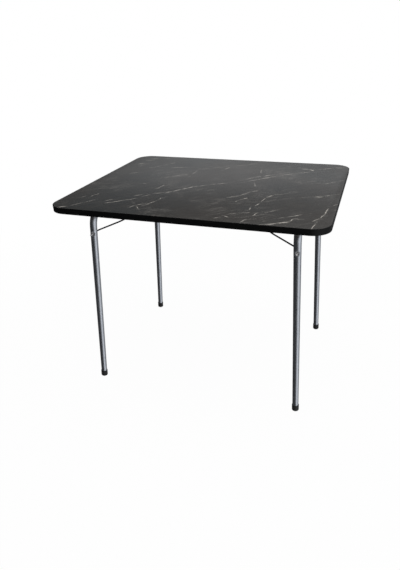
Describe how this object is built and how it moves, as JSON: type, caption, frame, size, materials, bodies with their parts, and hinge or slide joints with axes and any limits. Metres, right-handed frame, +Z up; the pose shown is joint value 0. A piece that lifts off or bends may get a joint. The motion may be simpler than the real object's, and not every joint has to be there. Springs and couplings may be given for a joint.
{
  "type": "folding card table",
  "caption": "Rectangular folding card table: dark marble-pattern laminated panel with rounded corners on folding U-shaped tube frames with wire stays and rubber feet.",
  "frame": {"origin": "on the floor, under the middle of the panel", "axes": "+X along the long side of the panel, +Y from the front long side to the back one, +Z up"},
  "size_m": [0.9, 0.75, 0.72],
  "materials": {
    "marble_laminate": "satin dark marble pattern with thin pale veins",
    "backing": "plain matte backing sheet",
    "chipboard": "raw chipboard, hidden between the laminates and the band",
    "edge_plastic": "fine-grained near-black edge band",
    "plated_tube": "satin plated tube",
    "stay_wire": "dark drawn wire with bright cut ends",
    "foot_rubber": "matte black rubber",
    "bush_nylon": "moulded black plastic",
    "pressed_steel": "zinc plated sheet",
    "screw_steel": "zinc plated"
  },
  "bodies": {
    "tabletop": {"board_core": "chipboard", "top_laminate": "marble_laminate", "backing_laminate": "backing", "edge_band": "edge_plastic", "bush_left_front": "bush_nylon", "saddle_left_front": "pressed_steel", "keeper_left_front": "pressed_steel", "bush_left_back": "bush_nylon", "saddle_left_back": "pressed_steel", "keeper_left_back": "pressed_steel", "bush_right_front": "bush_nylon", "saddle_right_front": "pressed_steel", "keeper_right_front": "pressed_steel", "bush_right_back": "bush_nylon", "saddle_right_back": "pressed_steel", "keeper_right_back": "pressed_steel", "saddle_screws": "screw_steel", "keeper_screws": "screw_steel"},
    "left_frame": {"leg_frame_left": "plated_tube", "foot_cap_left_front": "foot_rubber", "foot_cap_left_back": "foot_rubber"},
    "left_stay": {"wire_stay_left": "stay_wire"},
    "right_frame": {"leg_frame_right": "plated_tube", "foot_cap_right_front": "foot_rubber", "foot_cap_right_back": "foot_rubber"},
    "right_stay": {"wire_stay_right": "stay_wire"}
  },
  "joints": [
    {"name": "left_frame_fold", "type": "hinge", "parent": "tabletop", "child": "left_frame", "pos_m": [-0.346, 0, 0.686], "axis": [0, -1, 0], "range_deg": [0, 93.9]},
    {"name": "right_frame_fold", "type": "hinge", "parent": "tabletop", "child": "right_frame", "pos_m": [0.346, 0, 0.686], "axis": [0, 1, 0], "range_deg": [0, 88.9]},
    {"name": "left_stay_swing", "type": "hinge", "parent": "left_frame", "child": "left_stay", "pos_m": [-0.35167, 0, 0.60319], "axis": [0, -1, 0], "range_deg": [-116.6, 0]},
    {"name": "right_stay_swing", "type": "hinge", "parent": "right_frame", "child": "right_stay", "pos_m": [0.35167, 0, 0.60319], "axis": [0, 1, 0], "range_deg": [-110.4, 0]}
  ],
  "couplings": [
    {"joint": "left_stay_swing", "follows": "left_frame_fold", "ratio": -1.2392},
    {"joint": "right_stay_swing", "follows": "right_frame_fold", "ratio": -1.2392}
  ]
}
